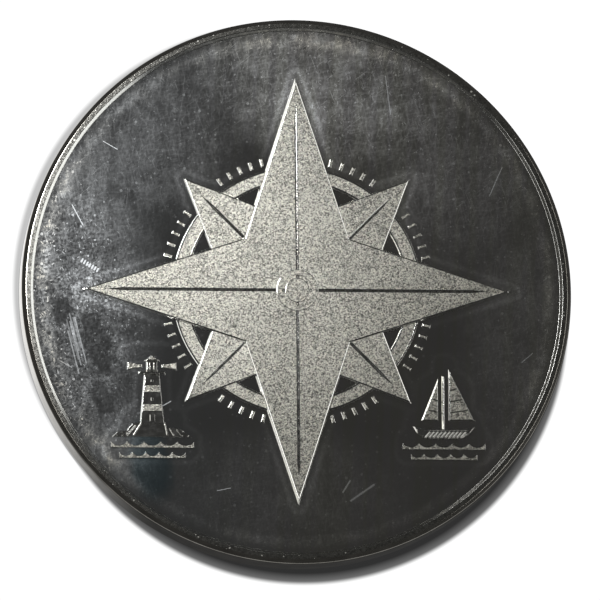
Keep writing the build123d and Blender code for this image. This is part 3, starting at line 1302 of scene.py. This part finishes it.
def satin_edge():
    """The plain edge: satin silver with faint lines round it and a thin, uneven tarnish."""
    made, tree, shader = metal("satin silver edge")
    place = in_mm(tree)
    stretched = add(tree, MAPPING, {"Vector": place, "Scale": edge_lines})
    lines = add(tree, NOISE, {"Vector": stretched, "Scale": 1, "Detail": 3, "Roughness": 0.7})
    tarnish = add(tree, NOISE, {"Vector": place, "Scale": 1 / tarnish_size, "Detail": 4})
    level = add(tree, MATH, (lines, tarnish), operation="MULTIPLY")
    level = add(tree, RANGE, (level, *tarnish_range), **SMOOTH)
    tint = add(tree, MIX, (level, linear("#bab7af"), linear("#e0dcd3")), data_type="RGBA")
    rough = add(tree, RANGE, (level, 0, 1, *edge_roughness))
    connect(tree, shader, {"Base Color": tint, "Roughness": rough})
    return made


# Stage, light and camera

camera_lean = 11.2      # degrees from straight above
camera_side = 240.0     # the way that it leans, in degrees from +X
camera_away = 800 * MM
camera_near = 10 * MM   # nothing closer than this is seen
frame_width = 48.84 * MM
look_aside = 0.20 * MM  # the coin lies a little left of and above the picture's middle
look_down = -0.82 * MM
sensor = 36.0

# The lamp, in mm: its place, the point that it is aimed at, its side, its spread in degrees, its power
key_lamp = ((-38, 20, 42), (-14, 8, 3), 30, 40, 0.0062)

table_size = 3.0        # half of its side, in metres
table_white = 1.06
contact_shade_width = 0.08    # width of the painted contact shade where coin and table meet, in mm
# tone of that painted contact shade
contact_shade_tone = 0.4

# Shadows of the coin painted on the table, as the camera sees them: the way and the distance that each
# falls, how much smaller than the coin it is, how far its soft edge reaches in and out, how deep it is,
# and its tones at that depth and at its edge
painted_shadows = [
    (289.5, 1.76, 0.545, 0.22, 0.27, 0.85, 0.03, 0.18),
    (140, 0.80, 0.16, 0.30, 0.22, 1.0, 0.55, 0.55),
]

# Pools of light painted on the table, as the coin's edge mirrors them: middle, where the light starts
# to fade and ends, distances from the coin between which it comes up and goes out, and its strength
painted_pools = [
    ((-30.0, 6.0), (8.0, 32.0), (-2.0, -1.0), (2.0, 5.0), 1.0),
    ((8.0, -30.0), (32.0, 44.0), (5.0, 8.0), (22.0, 30.0), 0.28),
]
table_dim = 0.045       # painted light that the edge gets from the table outside these pools

# Bright walls of the room: the way to the middle of each in degrees from +X; the share towards it
# where it starts and where it is full; shares towards +Z where it starts, is full, is still full
# and ends; its strength
room_lights = [
    (165, 0.50, 0.60, 0.38, 0.46, 0.64, 0.72, 2.0),
    (-2, 0.70, 0.76, 0.18, 0.26, 0.49, 0.55, 1.8),
]
room_dim = 0.038        # strength of the rest of the room


def painted_pool_light(tree, place):
    """The light painted on the table, as the coin mirrors it."""
    total = table_dim
    from_edge = add(tree, MATH, (flat_distance(tree, place), coin_radius), operation="SUBTRACT")
    for middle, fade, start, end, strength in painted_pools:
        away = flat_distance(tree, place, middle)
        light = add(tree, RANGE, (away, *fade, strength, 0), **SMOOTH)
        for distances, levels in ((start, (0, 1)), (end, (1, 0))):
            share = add(tree, RANGE, (from_edge, *distances, *levels), **SMOOTH)
            light = add(tree, MATH, (light, share), operation="MULTIPLY")
        total = add(tree, MATH, (total, light), operation="ADD")
    return total


def white_with_painted_shadows(tree, place):
    """The white of the table as the camera sees it, with the coin's shadows and contact shade painted in.
    """
    # Painted contact shade where the coin meets the table
    contact = (coin_radius, coin_radius + contact_shade_width)
    total = add(tree, RANGE, (flat_distance(tree, place), *contact, contact_shade_tone, table_white), **SMOOTH)
    # Each painted shadow of the coin: dark within, fading to white at its soft edge
    for turn, shift, shrink, inwards, outwards, depth, deep_tone, edge_tone in painted_shadows:
        away = flat_distance(tree, place, polar(shift, turn))
        side = coin_radius - shrink
        dark = add(tree, RANGE, (away, side - depth, side, deep_tone, edge_tone))
        pale = add(tree, RANGE, (away, side - inwards, side + outwards, 0, 1), **SMOOTH)
        shadow = add(tree, MIX, (pale, dark, table_white))
        total = add(tree, MATH, (total, shadow), operation="MINIMUM")
    return total


def table():
    """A glowing white table, with the coin's shadows and the pools of light that it mirrors painted on.
    """
    white = bpy.data.materials.new("white card")
    white.use_nodes = True
    tree = white.node_tree
    tree.nodes.clear()
    place = in_mm(tree)
    seen = add(tree, "ShaderNodeLightPath").outputs["Is Camera Ray"]
    level = add(tree, MIX, (seen, painted_pool_light(tree, place), white_with_painted_shadows(tree, place)))
    glow = add(tree, "ShaderNodeEmission", {"Strength": level})
    add(tree, "ShaderNodeOutputMaterial", {"Surface": glow})
    bm = bmesh.new()
    bmesh.ops.create_grid(bm, x_segments=1, y_segments=1, size=table_size)
    made = as_object(bm, "table", [white])


def softbox(name, place, aim, size, spread, power):
    """A square lamp of soft light that the camera doesn't see, with a grid that narrows its beam."""
    lamp = bpy.data.lights.new(name, "AREA")
    lamp.size = size * MM
    lamp.spread = math.radians(spread)
    lamp.energy = power
    made = bpy.data.objects.new(name, lamp)
    made.location = Vector(place) * MM
    made.rotation_euler = (Vector(aim) * MM - made.location).to_track_quat("-Z", "Y").to_euler()
    made.visible_camera = False
    bpy.context.scene.collection.objects.link(made)


def room():
    """A dim room with a bright wall on the left and another, lower one on the right."""
    world = bpy.data.worlds.new("room")
    world.use_nodes = True
    tree = world.node_tree
    tree.nodes.clear()
    toward = add(tree, "ShaderNodeTexCoord").outputs["Generated"]
    up = add(tree, SEPARATE, (toward,)).outputs["Z"]
    total = room_dim
    for turn, start, full, low, low_full, high_full, high, strength in room_lights:
        along = add(tree, VECTOR, (toward, (*polar(1, turn), 0)), operation="DOT_PRODUCT")
        across = add(tree, RANGE, (along, start, full, 0, strength), **SMOOTH)
        above = add(tree, RANGE, (up, low, low_full, 0, 1), **SMOOTH)
        below = add(tree, RANGE, (up, high, high_full, 0, 1), **SMOOTH)
        upright = add(tree, MATH, (above, below), operation="MULTIPLY")
        total = add(tree, MATH, (across, upright, total), operation="MULTIPLY_ADD")
    glow = add(tree, "ShaderNodeBackground", {"Color": linear("#f7f6f3"), "Strength": total})
    add(tree, "ShaderNodeOutputWorld", {"Surface": glow})
    bpy.context.scene.world = world
    bpy.context.scene.view_settings.view_transform = "Standard"


def look():
    """The camera, at the photograph's angle to the coin."""
    eye = bpy.data.cameras.new("eye")
    eye.sensor_width = sensor
    eye.lens = sensor * camera_away / frame_width
    eye.clip_start = camera_near
    made = bpy.data.objects.new("eye", eye)
    side = math.radians(camera_side)
    across = Vector((-math.sin(side), math.cos(side), 0))
    turned = Matrix.Rotation(math.radians(camera_lean), 3, across)
    aim = Vector((look_aside, look_down, coin_thickness * MM))
    made.location = aim + turned @ Vector((0, 0, camera_away))
    made.rotation_euler = turned.to_euler()
    bpy.context.scene.collection.objects.link(made)
    bpy.context.scene.camera = made


finishes = [hazed_mirror(), blasted_silver(), polished_relief(), worn_land(), satin_edge()]
whole = coin(finishes)
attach(whole, "root")
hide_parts("struck_coin")
table()
softbox("key", *key_lamp)
room()
look()
